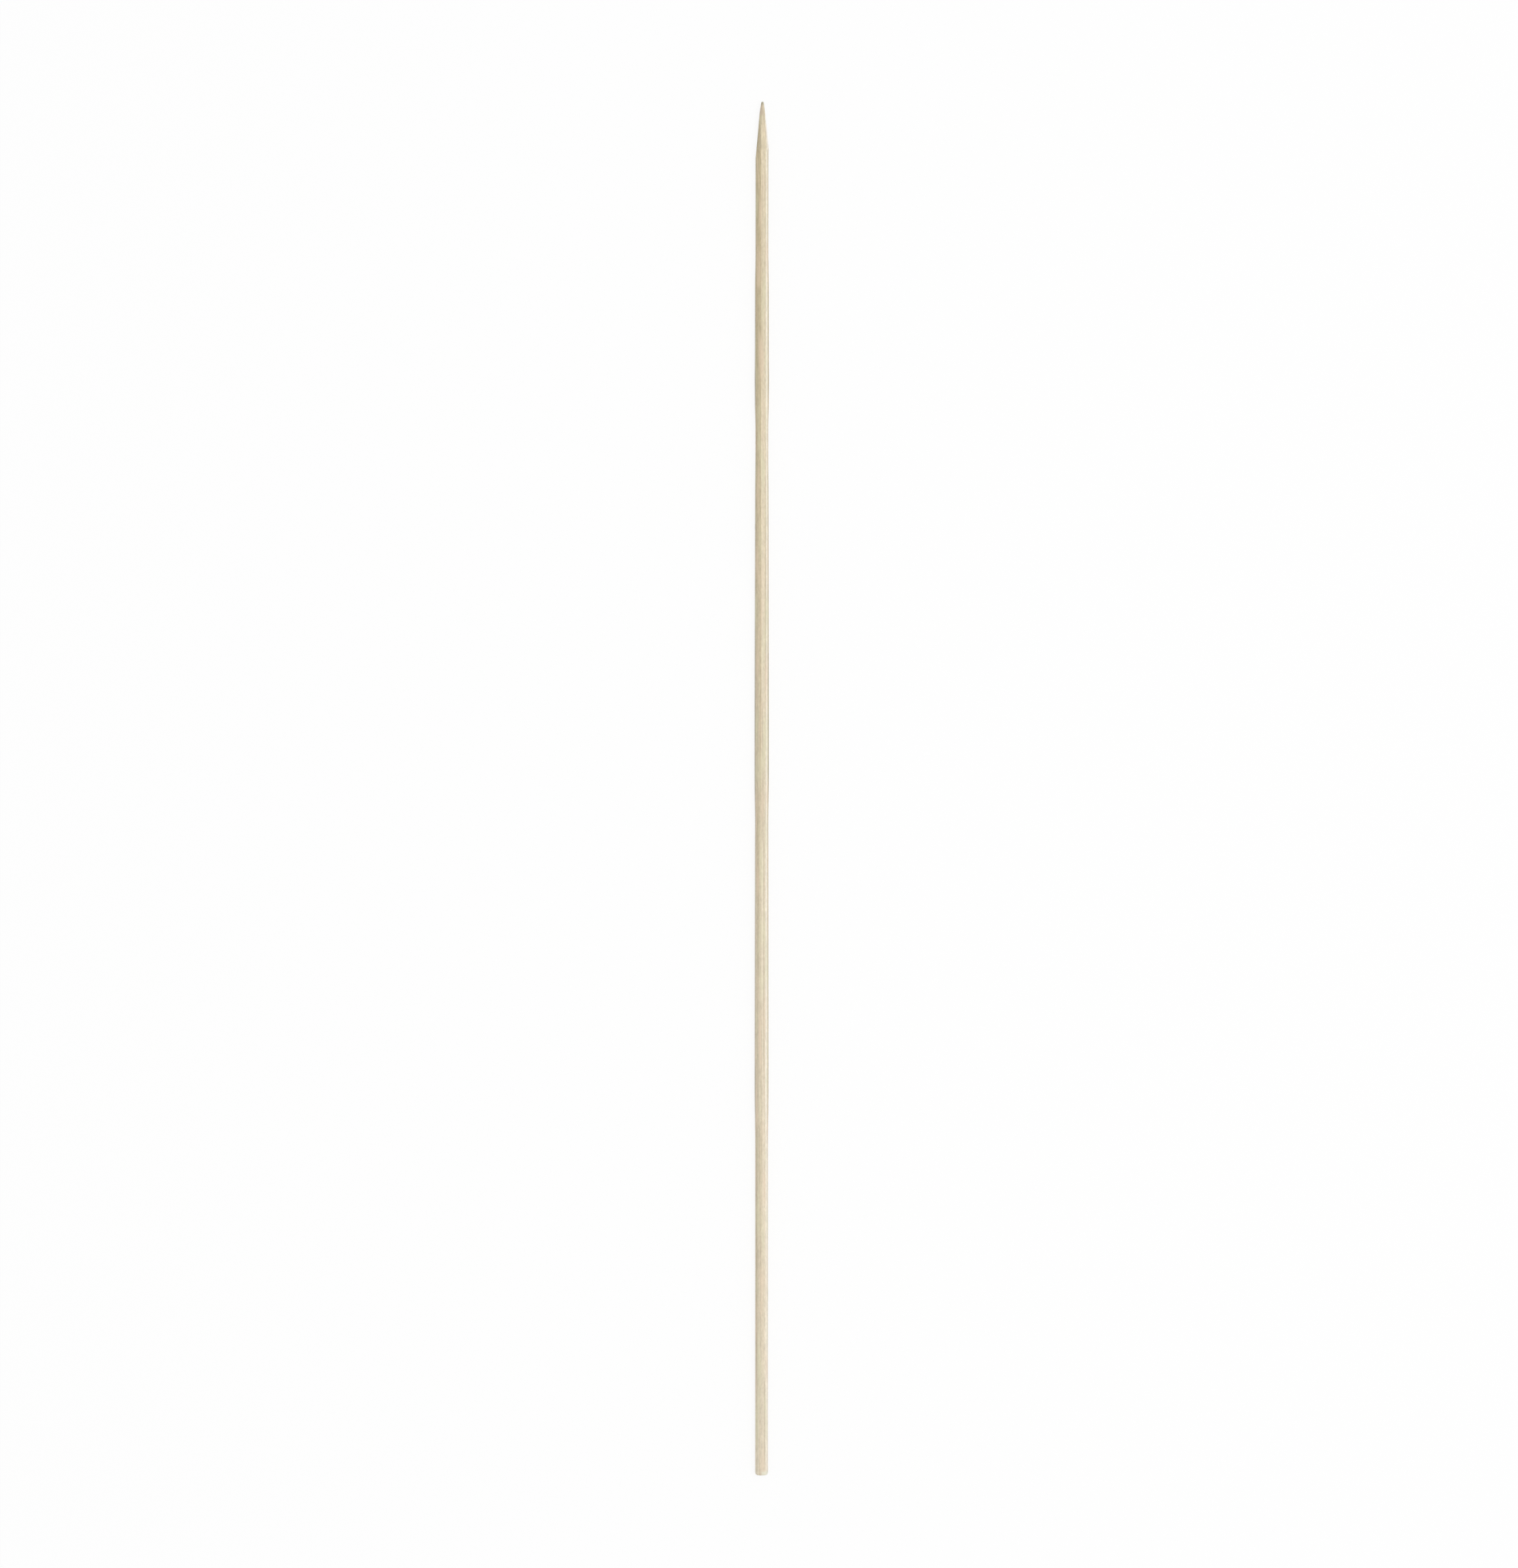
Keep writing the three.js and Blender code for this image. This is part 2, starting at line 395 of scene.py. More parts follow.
def surface(sizes, relief, angle, from_tip, share):
    """The finished surface's shift and radius, and how deep each point lies in a groove. Relief only ever
    cuts inwards. On the ground point the wheel's rings replace the flats."""
    shift, radius, ground = outline(sizes, angle, from_tip)
    grooves = fibre_grooves(relief, angle, from_tip) * np.where(ground, GROUND_GROOVES, 1)
    bend = RING_BEND * np.sin(angle * RING_LOBES + from_tip / MM)
    rings = 0.5 + 0.5 * np.sin(from_tip / MM * RING_RATE + bend)
    flats = relief.facet_depth * broad_flats(angle, from_tip)
    cut = sizes.skin + relief.groove_depth * grooves
    cut = cut + np.where(ground, relief.grinding_depth * rings, flats)
    slim = np.clip(radius / (sizes.neck_diameter / 2), 0, 1)
    return shift, (radius - cut * slim) * share, grooves


def rough_end(x, z):
    """The roughness of the cut end, from 0 to 1: a wave across it times a wave up it, each bent by a wave
    in the other direction."""
    (x_rate, x_bend, x_cross), (z_rate, z_bend, z_cross) = END_WAVES
    x_wave = np.sin(x / MM * x_rate + x_bend * np.sin(z / MM * x_cross))
    z_wave = np.sin(z / MM * z_rate + z_bend * np.sin(x / MM * z_cross))
    return 0.5 + 0.5 * (x_wave * z_wave)


def stick_vertices(sizes, relief):
    """The stick's grid of vertices, ring by ring from the tip, as an array of rings by sides by 3, with the
    depth of grooves in the same shape. A vertex is its ring's centre plus its radius along the ray at its
    angle. The cut end is rough along Y."""
    along, share = ring_places(sizes)
    angle = np.arange(sizes.sides)[None, :] * 2 * np.pi / sizes.sides
    shift, radius, grooves = surface(sizes, relief, angle, along[:, None], share[:, None])
    x, z = shift + radius * np.sin(angle), axis_height() + radius * np.cos(angle)
    y = CAD_HIGH.y - along[:, None] + 0 * radius
    on_end = (share[:, None] < 1) & (along[:, None] > stick_length() / 2)
    rough = relief.saw_depth * rough_end(x, z) * smooth(0, END_FADE, 1 - share[:, None])
    y = np.where(on_end, y + rough, y)
    return np.stack([x, y, z], axis=-1), grooves


def grid_faces(rings, sides, tip, tail):
    """Quads between neighbouring rings, closed round the stick, and a fan to a pole at each end. The poles
    are the vertices numbered tip and tail."""
    ring, side = np.meshgrid(np.arange(rings - 1), np.arange(sides), indexing="ij")
    here, beside = ring * sides + side, ring * sides + (side + 1) % sides
    quads = np.stack([here, here + sides, beside + sides, beside], axis=-1).reshape(-1, 4)
    edge = np.arange(sides)
    following = (edge + 1) % sides
    last = (rings - 1) * sides
    front = np.stack([np.full(sides, tip), edge, following], axis=-1)
    back = np.stack([np.full(sides, tail), last + following, last + edge], axis=-1)
    return quads.tolist() + front.tolist() + back.tolist()


def face_seats(rings, sides):
    """For each corner of each face, in the order of grid_faces: its ring and its side, where a side may be
    one past the last so that the map's seam stays open. A pole counts as a ring beyond the first or the
    last."""
    ring, side = np.meshgrid(np.arange(rings - 1), np.arange(sides), indexing="ij")
    quad_rings = np.stack([ring, ring + 1, ring + 1, ring], axis=-1).reshape(-1)
    quad_sides = np.stack([side, side, side + 1, side + 1], axis=-1).reshape(-1)
    edge = np.arange(sides)
    front_rings = np.tile([-1, 0, 0], sides)
    front_sides = np.stack([edge, edge, edge + 1], axis=-1).reshape(-1)
    back_rings = np.tile([rings, rings - 1, rings - 1], sides)
    back_sides = np.stack([edge, edge + 1, edge], axis=-1).reshape(-1)
    seat_rings = np.concatenate([quad_rings, front_rings, back_rings])
    seat_sides = np.concatenate([quad_sides, front_sides, back_sides])
    return seat_rings, seat_sides


# Tone strips along the stick: middle and half width in degrees from its top towards +X, where the stick is
# thickest, and tone, from -1 for dark to 1 for light. The dark strips at 60 to 76 degrees either side lie
# along the stick's outline seen from above and are painted shade; the light strip at 41 degrees, on the
# side towards the lamp, is partly painted light over a pale layer; the others are the wood's own tone.
STRIPS = (
    (-73, 12, -0.95),
    (-60, 5, -0.3),
    (-37, 8, -0.35),
    (-23, 5, -0.08),
    (16, 11, -0.2),
    (27, 4, -0.12),
    (41, 8, 0.95),
    (60, 5, -0.5),
    (76, 10, -0.8),
    (112, 12, 0.5),
    (140, 6, -0.4),
    (163, 10, 0.3),
    (-175, 6, -0.5),
    (-150, 12, 0.35),
    (-122, 9, -0.6),
    (-98, 8, 0.2),
)
# The same for the ground point, whose flank cuts across the fibres: these strips follow the cone. The dark
# strips at -80 and -28 degrees, on its left, are painted shade, and the light one at 70 degrees, on its
# right towards the lamp, is painted light; the two underneath are the wood's own tone.
POINT_STRIPS = (
    (-80, 14, -0.8),
    (-28, 18, -0.42),
    (70, 24, 0.85),
    (-170, 20, 0.4),
    (130, 14, -0.4),
)
# How far a strip's line wanders, how many radians it does so over the stick's length, and how many times
# round the stick that differs
STRIP_WANDER = math.radians(2.5)
WANDER_RATE = 9
WANDER_LOBES = 3
# In half widths, where a strip has faded out and where it is at full strength, on the shaft and the point
STRIP_EDGE = (1.25, 0.75)
POINT_STRIP_EDGE = (1.4, 0.6)
# Over how much of the point's length from the shoulder its strips set in, and the share of the radius past
# which a strip runs out
POINT_STRIP_FADE = 2 * MM
STRIP_RUN_OUT = 1.1
# How far out a ring on an end has to be for the strips and grooves to show on it
END_STRIP_SHARE = 0.8


def straight_line(sizes, middle, from_tip):
    """The angle at which a strip crosses each ring, and how much of it shows. The fibres run straight along
    the stick, so a strip keeps its distance sideways from the axis while the stick swells and narrows, and
    runs out where the stick is slimmer than that distance."""
    radius = np.minimum(stick_radius(sizes, from_tip), point_radius(sizes, from_tip))
    sideways = math.sin(middle) * (sizes.neck_diameter + sizes.swell_height) / 2 / radius
    turn = np.arcsin(np.clip(sideways, -1, 1))
    line = np.where(math.cos(middle) < 0, np.pi - turn, turn)
    return line, smooth(STRIP_RUN_OUT, 1.0, np.abs(sideways))


def strip_tone_and_painted_light(sizes, angle, from_tip):
    """The tone of the broad strips of fibre: for each a bell with a flat top, along a line that wanders
    slowly. The dark strips along the stick's outline seen from above are painted shade, and the light ones
    on the side towards the lamp are partly painted light."""
    wander = STRIP_WANDER * np.sin(from_tip / stick_length() * WANDER_RATE + WANDER_LOBES * np.sin(angle))
    tone = np.zeros(np.broadcast_shapes(angle.shape, from_tip.shape))
    for middle, half, strength in STRIPS:
        line, share = straight_line(sizes, math.radians(middle), from_tip)
        gap = np.abs(turn_gap(angle + wander, line)) / math.radians(half)
        tone = tone + strength * share * smooth(*STRIP_EDGE, gap)
    on_point = smooth(sizes.point_length, sizes.point_length - POINT_STRIP_FADE, from_tip)
    for middle, half, strength in POINT_STRIPS:
        gap = np.abs(turn_gap(angle + wander, math.radians(middle))) / math.radians(half)
        tone = tone + strength * on_point * smooth(*POINT_STRIP_EDGE, gap)
    return tone


def add_mesh(name, vertices, faces, smooth_shaded=True):
    """A mesh object at the origin, from an array of places and a list of faces."""
    mesh = bpy.data.meshes.new(name)
    mesh.from_pydata(vertices.reshape(-1, 3), [], faces)
    mesh.polygons.foreach_set("use_smooth", np.full(len(mesh.polygons), smooth_shaded))
    mesh.update()
    piece = bpy.data.objects.new(name, mesh)
    bpy.context.scene.collection.objects.link(piece)
    return piece


def add_attribute(piece, name, values):
    """A number for each vertex, which the material reads by its name."""
    layer = piece.data.attributes.new(name, "FLOAT", "POINT")
    layer.data.foreach_set("value", np.asarray(values, dtype=np.float32).reshape(-1))


# Laying out the surface for a picture of it

# How many rows the map has, the free margin round each, the share of its height that all rows take, and
# how far across it the faces of the tip and of the cut end lie
MAP_ROWS = 4
MAP_MARGIN = 0.006
MAP_ROW_SHARE = 0.94
TIP_FACE_PLACE = 0.1
CUT_FACE_PLACE = 0.2


def add_strip_map(piece, grid, sides):
    """A map that cuts the stick into rows of equal length and lays them one above the other: the place
    along the row runs across the map, and the angle round the stick runs up the row. The two ends lie flat
    in the band that is left at the top."""
    rings = len(grid)
    step = np.linalg.norm(np.diff(grid.mean(axis=1), axis=0), axis=1)
    reach = np.linalg.norm((grid - grid.mean(axis=1, keepdims=True))[:, 0], axis=1)
    walked = np.concatenate([[0], np.cumsum(np.hypot(step, np.diff(reach)))])
    corner_rings, corner_sides = face_seats(rings, sides)
    split = (rings - 1) * sides * 4
    quad_rings, quad_sides = corner_rings[:split], corner_sides[:split]
    cap_rings, cap_sides = corner_rings[split:], corner_sides[split:]

    low_ring = quad_rings.reshape(-1, 4).min(axis=1)
    middle = (walked[low_ring] + walked[low_ring + 1]) / 2
    row = np.minimum((middle / walked[-1] * MAP_ROWS).astype(int), MAP_ROWS - 1)
    row_starts = np.array([walked[low_ring[row == k]].min() for k in range(MAP_ROWS)])
    row_ends = np.array([walked[low_ring[row == k] + 1].max() for k in range(MAP_ROWS)])
    row = np.repeat(row, 4)
    along = (walked[quad_rings] - row_starts[row]) / (row_ends - row_starts)[row]
    height = MAP_ROW_SHARE / MAP_ROWS
    u = MAP_MARGIN + along * (1 - 2 * MAP_MARGIN)
    v = (row + quad_sides / sides) * height
    v = row * height + MAP_MARGIN + (v - row * height) * (1 - 2 * MAP_MARGIN / height)

    angle = cap_sides / sides * 2 * np.pi
    cap_size = (1 - MAP_ROW_SHARE) / 2 - MAP_MARGIN
    away = np.where((cap_rings < 0) | (cap_rings >= rings), 0, cap_size)
    cap_middle = np.where(cap_rings < rings / 2, TIP_FACE_PLACE, CUT_FACE_PLACE)
    cap_u = cap_middle + away * np.sin(angle)
    cap_v = (1 + MAP_ROW_SHARE) / 2 + away * np.cos(angle)
    places = np.stack([np.concatenate([u, cap_u]), np.concatenate([v, cap_v])], axis=-1)
    layer = piece.data.uv_layers.new(name="OFBake")
    layer.data.foreach_set("uv", places.astype(np.float32).reshape(-1))


# Splinters

# Each splinter draws a number from 0 to 1. Below the first of these it lies round the shoulder, from there
# to the second at the rim, and otherwise on the shaft.
SPLINTER_KINDS = (0.3, 0.45)
# Places from the tip and lengths, in millimetres. Those round the shoulder and at the rim are short.
SHAFT_PLACES = (16, 280)
SHOULDER_PLACES = (9.0, 14.5)
LONG_SPLINTERS = (0.8, 3.6)
SHORT_SPLINTERS = (0.4, 1.5)
# How many of its own lengths a splinter at the rim starts before it, and the share of the others that rise
# towards the tip
RIM_LENGTHS = 1.05
TIPWARD_SHARE = 0.6
# The least and the greatest share of the full lift and the power that makes most of them low, how far they
# turn round the stick in radians, and their half thickness at the root in millimetres
LIFT_SHARES = (0.2, 1)
LIFT_POWER = 1.5
SPLINTER_TURN = 0.03
SPLINTER_ROOTS = (0.012, 0.026)
# The places along a splinter that have vertices, how deep its root lies, how much thinner its free end is,
# how much wider than thick it is, and how far it stays inside the stick's greatest half width
SPLINTER_STEPS = 7
ROOT_DEPTH = 0.012 * MM
SPLINTER_TAPER = 0.85
SPLINTER_WIDTH = 1.6
SPLINTER_CLEARANCE = 0.03 * MM


def splinter_vertices(sizes, relief):
    """Fine fibres that lift from the surface. Each is a tapering strand with a diamond section along a path
    that starts in the surface and rises with the square of the distance, to its lift at the free end. Many
    lie round the shoulder of the point and at the rim of the cut end, the rest anywhere on the shaft. The
    result is an array of splinters by steps by 4 by 3, and which splinters rise towards the tip."""
    rng = np.random.default_rng(relief.seed + 1)
    count = relief.splinter_count
    kind = rng.random(count)
    at_shoulder, at_rim = SPLINTER_KINDS
    shoulder, rim = kind < at_shoulder, (kind >= at_shoulder) & (kind < at_rim)
    start = rng.uniform(*SHAFT_PLACES, count) * MM
    start = np.where(shoulder, rng.uniform(*SHOULDER_PLACES, count) * MM, start)
    length = rng.uniform(*LONG_SPLINTERS, count) * MM
    length = np.where(shoulder | rim, rng.uniform(*SHORT_SPLINTERS, count) * MM, length)
    towards_tip = np.where(rim, False, rng.random(count) < TIPWARD_SHARE)
    start = np.where(rim, stick_length() - sizes.rim_depth - length * RIM_LENGTHS, start)
    angle = rng.uniform(-np.pi, np.pi, count)
    lift = relief.splinter_lift * rng.uniform(*LIFT_SHARES, count) ** LIFT_POWER
    turn = rng.normal(0, SPLINTER_TURN, count)
    thick = rng.uniform(*SPLINTER_ROOTS, count) * MM

    steps = np.linspace(0, 1, SPLINTER_STEPS)[None, :]
    along = start[:, None] + np.where(towards_tip, -1, 1)[:, None] * length[:, None] * steps
    around = angle[:, None] + turn[:, None] * steps
    shift, radius, _ = outline(sizes, around, along)
    middle = radius - ROOT_DEPTH + lift[:, None] * steps**2
    limit = CAD_HIGH.x - SPLINTER_CLEARANCE
    middle = np.minimum(middle, limit - np.abs(shift))
    side = np.arange(4)[None, None, :] * np.pi / 2
    size = (thick[:, None] * (1 - SPLINTER_TAPER * steps))[:, :, None]
    out = middle[:, :, None] + size * np.cos(side)
    across = around[:, :, None] + SPLINTER_WIDTH * size * np.sin(side) / middle[:, :, None]
    x = shift[:, :, None] + out * np.sin(across)
    z = axis_height() + out * np.cos(across)
    y = CAD_HIGH.y - along[:, :, None] + 0 * out
    return np.stack([x, y, z], axis=-1), towards_tip


def splinter_faces(towards_tip, steps):
    """Quads round each strand and one at each of its ends, turned so that they face outwards whichever way
    the strand runs."""
    base = np.arange(len(towards_tip))[:, None, None] * steps * 4
    step, side = np.meshgrid(np.arange(steps - 1), np.arange(4), indexing="ij")
    here, beside = step * 4 + side, step * 4 + (side + 1) % 4
    quads = np.stack([here, beside, beside + 4, here + 4], axis=-1).reshape(1, -1, 4)
    root = np.array([[[3, 2, 1, 0]]])
    free = (steps - 1) * 4 + np.array([[[0, 1, 2, 3]]])
    faces = np.concatenate([quads, root, free], axis=1) + base
    turned = faces[:, :, ::-1]
    return np.where(towards_tip[:, None, None], faces, turned).reshape(-1, 4).tolist()


# Materials

WHITE = (1.0, 1.0, 1.0, 1.0)
PAPER = (0.9, 0.9, 0.9, 1.0)

# Of each noise in the bamboo: its cells to a millimetre across the stick and along it, a shift that keeps
# it apart from the others, its detail, and its roughness
WANDER_NOISE = (0.9, 0.012, 3.0, 2.0, 0.5)
FINE_NOISE = (11.0, 0.12, 2.0, 3.0, 0.65)
FINEST_NOISE = (22.0, 0.9, 7.0, 2.0, 0.6)
DASH_NOISE = (9.0, 0.35, 9.0, 2.0, 0.5)
CLOUD_NOISE = (0.9, 0.09, 6.0, 1.0, 0.5)
FLANK_NOISE = (2.4, 0.2, 12.0, 2.0, 0.6)
# Noises that only streak the colour, and how strongly the streaks show
BROAD_NOISE = (3.2, 0.02, 1.0, 3.0, 0.6)
MOTTLE_NOISE = (3.4, 0.5, 4.0, 2.0, 0.6)
GRAIN_NOISE = (3.0, 1.4, 8.0, 1.0, 0.5)
BROAD_STREAKS = 0.2
FINE_STREAKS = 0.34
MOTTLE_STREAKS = 0.42
GRAIN_STREAKS = 0.3

# The stem's wall goes from its skin on the left to its hollow on the right. A place in it is X, moved by
# the wander, by a slant for each metre along Y and by a fixed shift. Last come the two places between
# which the wood changes from the skin's to the hollow's. The skin's darker wood lies on the left (-X), away
# from the lamp, and is darker partly as painted shade.
WALL_WANDER = 0.35 * MM
WALL_SLANT = 0.0016
WALL_SHIFT = -0.12 * MM
WALL_CHANGE = (-0.26 * MM, -0.09 * MM)
# Between which places on Y the wood changes from the cut end's to the point's
LENGTH_CHANGE = (-0.06, 0.135)
# The bundles of fibre: their cells, as for a noise, how much they are scattered, how far from its middle a
# bundle ends and is whole, and how strong they are at two places in the wall. They grow stronger towards
# the left (-X), which darkens that side, partly as painted shade.
BUNDLE_CELLS = (2.3, 0.009, 5.0)
BUNDLE_SCATTER = 0.85
BUNDLE_EDGE = (0.42, 0.2)
BUNDLE_CROWD = (1.2 * MM, -1.2 * MM, 0.1, 0.42)
# Dashes are the open pores: between which values of their noise they begin and are whole, and how dark they
# and the grooves are. The grooves' darkening is painted shade in them.
DASH_EDGE = (0.66, 0.74)
DASH_TINT = 0.25
GROOVE_SHADE = 0.75
# Where in the cloud noise the reddish and the greenish clouds begin and are whole, and how strong they are
BLUSH_CLOUDS = (0.5, 0.75, 0.0, 0.5)
GREEN_CLOUDS = (0.5, 0.25, 0.0, 0.4)

# Of the tints near an end: how far from it they begin and are whole, and their strength
PALE_TAIL = (50 * MM, 8 * MM, 0.22)
FLANK_STREAKS = (34 * MM, 9 * MM, 0.6)
# Painted shade on the nose and the nib, strongest on the left (-X) side away from the lamp
SHADED_NOSE = (3.3 * MM, 2.6 * MM, 0.7)
SHADED_NIB = (1.1 * MM, 0.3 * MM, 0.8)
# A painted highlight on the rounded rim of the cut end, strongest on its right (+X) side towards the lamp
RIM_HIGHLIGHT = (1.3 * MM, 0.5 * MM, 0.75)
# How strong those at the tip and at the rim are at two places on X, and how strong the rim's is at two
# values of the fine noise. The painted shade at the tip is strongest on the left (-X), away from the lamp,
# and the painted highlight at the rim on the right (+X), towards it.
TIP_ACROSS = (0.42 * MM, 0.12 * MM, 0.25, 1.0)
RIM_ACROSS = (-0.2 * MM, 0.3 * MM, 0.15, 1.0)
RIM_FIBRES = (0.36, 0.56, 0.62, 1.0)

# How far the roughness varies, the heights of the fine and finest fibres and of the dashes as shares of the
# bump's, and the bump's strength
ROUGHNESS_RANGE = 0.2
FINE_HEIGHT = 0.6
FINEST_HEIGHT = 0.4
DASH_HEIGHT = 0.8
BUMP_STRENGTH = 0.6


class Shader:
    """A short way to write a material's nodes. add returns the node that it makes, and the others the
    output of theirs."""

    def __init__(self, name):
        self.material = bpy.data.materials.new(name)
        self.material.use_nodes = True
        self.nodes, self.links = self.material.node_tree.nodes, self.material.node_tree.links
        self.nodes.clear()

    def plug(self, socket, value):
        """Links an output to the socket, or sets the socket to a value."""
        if isinstance(value, bpy.types.NodeSocket):
            self.links.new(value, socket)
        else:
            socket.default_value = value

    def add(self, kind, settings=(), **inputs):
        """A node of a kind, with settings of its own and values or outputs for its inputs."""
        node = self.nodes.new("ShaderNode" + kind)
        for key, value in dict(settings).items():
            setattr(node, key, value)
        for key, value in inputs.items():
            self.plug(node.inputs[key.replace("_", " ")], value)
        return node

    def math(self, operation, *values):
        """An operation on numbers."""
        node = self.nodes.new("ShaderNodeMath")
        node.operation = operation
        for socket, value in zip(node.inputs, values):
            self.plug(socket, value)
        return node.outputs[0]

    def span(self, value, low, high, to_low=0.0, to_high=1.0):
        """value, moved from low..high to to_low..to_high by a smooth step."""
        node = self.add("MapRange", {"interpolation_type": "SMOOTHSTEP"})
        for socket, number in zip(node.inputs, (value, low, high, to_low, to_high)):
            self.plug(socket, number)
        return node.outputs[0]

    def mix(self, factor, first, second, blend="MIX"):
        """Two colours, mixed by factor."""
        node = self.nodes.new("ShaderNodeMix")
        node.data_type, node.blend_type = "RGBA", blend
        self.plug(node.inputs["Factor"], factor)
        self.plug(node.inputs[6], first)
        self.plug(node.inputs[7], second)
        return node.outputs[2]

    def stretched(self, place, across, along, shift):
        """place in cells: so many to a millimetre across the stick, and so many along it."""
        scale = (across / MM, along / MM, across / MM)
        node = self.add("Mapping", Vector=place, Scale=scale, Location=(shift, shift / 3, -shift))
        return node.outputs[0]

    def noise(self, place, across, along, shift, detail, roughness):
        """Noise in stretched cells, from 0 to 1 about 0.5."""
        cells = self.stretched(place, across, along, shift)
        node = self.add("TexNoise", Vector=cells, Scale=1.0, Detail=detail, Roughness=roughness)
        return node.outputs[0]

    def centred(self, noise, amount):
        """Noise about nought, times amount."""
        return self.math("MULTIPLY", self.math("SUBTRACT", noise, 0.5), amount)


def colour4(colour):
    """A colour property as the four numbers of a shader's socket."""
    return (*colour, 1.0)


def near_tip(s, y, begins, whole, strength):
    """The strength of a tint: nought further than begins from the tip, and full nearer than whole."""
    return s.span(y, CAD_HIGH.y - begins, CAD_HIGH.y - whole, 0.0, strength)


def near_cut(s, y, begins, whole, strength):
    """The strength of a tint: nought further than begins from the cut end, and full nearer than whole."""
    return s.span(y, CAD_LOW.y + begins, CAD_LOW.y + whole, 0.0, strength)


def wood_tone_and_painted_light(s, finish, place, x, y):
    """The wood's colour by its place in the stem's wall and along the stick, with the broad strips and the
    bundles of fibre, which crowd towards the skin. Part of it is painted: the darker skin side and the
    crowding bundles on the left (-X) are partly painted shade, the dark strips along the outline are
    painted shade, and the light strips on the side towards the lamp are partly painted light."""
    strip = s.add("Attribute", {"attribute_name": "strip_tone_and_painted_light"}).outputs["Fac"]
    wall = s.math("ADD", x, s.centred(s.noise(place, *WANDER_NOISE), WALL_WANDER))
    wall = s.math("ADD", wall, s.math("MULTIPLY_ADD", y, WALL_SLANT, WALL_SHIFT))
    towards_point = s.span(y, *LENGTH_CHANGE)
    # The skin side, on the left (-X) away from the lamp, is darker partly as painted shade
    skin_side_and_shade = s.mix(towards_point, colour4(finish.tan), colour4(finish.ochre))
    hollow_side = s.mix(towards_point, colour4(finish.pale), colour4(finish.straw))
    colour = s.mix(s.span(wall, *WALL_CHANGE), skin_side_and_shade, hollow_side)
    colour = s.mix(near_cut(s, y, *PALE_TAIL), colour, colour4(finish.light))
    # Strips: painted light on the side towards the lamp and painted shade along the outline, the rest tone
    colour = s.mix(s.span(strip, 0.0, 1.0), colour, colour4(finish.light))
    colour = s.mix(s.span(strip, 0.0, -1.0), colour, colour4(finish.dark))

    cells = s.stretched(place, *BUNDLE_CELLS)
    voronoi = s.add("TexVoronoi", {"feature": "F1"}, Vector=cells, Scale=1.0, Randomness=BUNDLE_SCATTER)
    bundle = s.span(voronoi.outputs["Distance"], *BUNDLE_EDGE)
    # More bundles towards the left (-X): partly painted shade on the side away from the lamp
    strength = s.math("MULTIPLY", bundle, s.span(wall, *BUNDLE_CROWD))
    return s.mix(strength, colour, colour4(finish.fibre))


def streaked(s, colour, place, y, fine, finest):
    """colour, made lighter and darker by each noise in turn. The last one shows only towards the point."""
    streaks = (
        (s.noise(place, *BROAD_NOISE), BROAD_STREAKS),
        (fine, FINE_STREAKS),
        (finest, FINE_STREAKS),
        (s.noise(place, *MOTTLE_NOISE), MOTTLE_STREAKS),
        (s.noise(place, *GRAIN_NOISE), GRAIN_STREAKS),
        (s.noise(place, *FLANK_NOISE), near_tip(s, y, *FLANK_STREAKS)),
    )
    for noise, strength in streaks:
        value = s.math("ADD", 1.0, s.centred(noise, strength))
        grey = s.add("CombineColor", Red=value, Green=value, Blue=value).outputs[0]
        colour = s.mix(1.0, colour, grey, "MULTIPLY")
    return colour


def shaded_tip_and_lit_rim(s, finish, colour, x, y, fine):
    """colour, with painted shade on the nose and the blunt nib, strongest on their left (-X) side away from
    the lamp, and a painted highlight on the rounded rim of the cut end, strongest on its right (+X) side.
    """
    # Painted shade on the nose and the nib: full on the left (-X) side, a quarter as much on the right
    across = s.span(x, *TIP_ACROSS)
    nose_shade = s.math("MULTIPLY", near_tip(s, y, *SHADED_NOSE), across)
    colour = s.mix(nose_shade, colour, colour4(finish.nib))
    blunt = s.math("MULTIPLY", near_tip(s, y, *SHADED_NIB), across)
    colour = s.mix(blunt, colour, colour4(finish.nib_end))
    # A painted highlight where the rounded rim faces the lamp, mostly on its right (+X), broken by the fine
    # noise
    rim = s.math("MULTIPLY", near_cut(s, y, *RIM_HIGHLIGHT), s.span(x, *RIM_ACROSS))
    rim = s.math("MULTIPLY", rim, s.span(fine, *RIM_FIBRES))
    return s.mix(rim, colour, colour4(finish.rim))


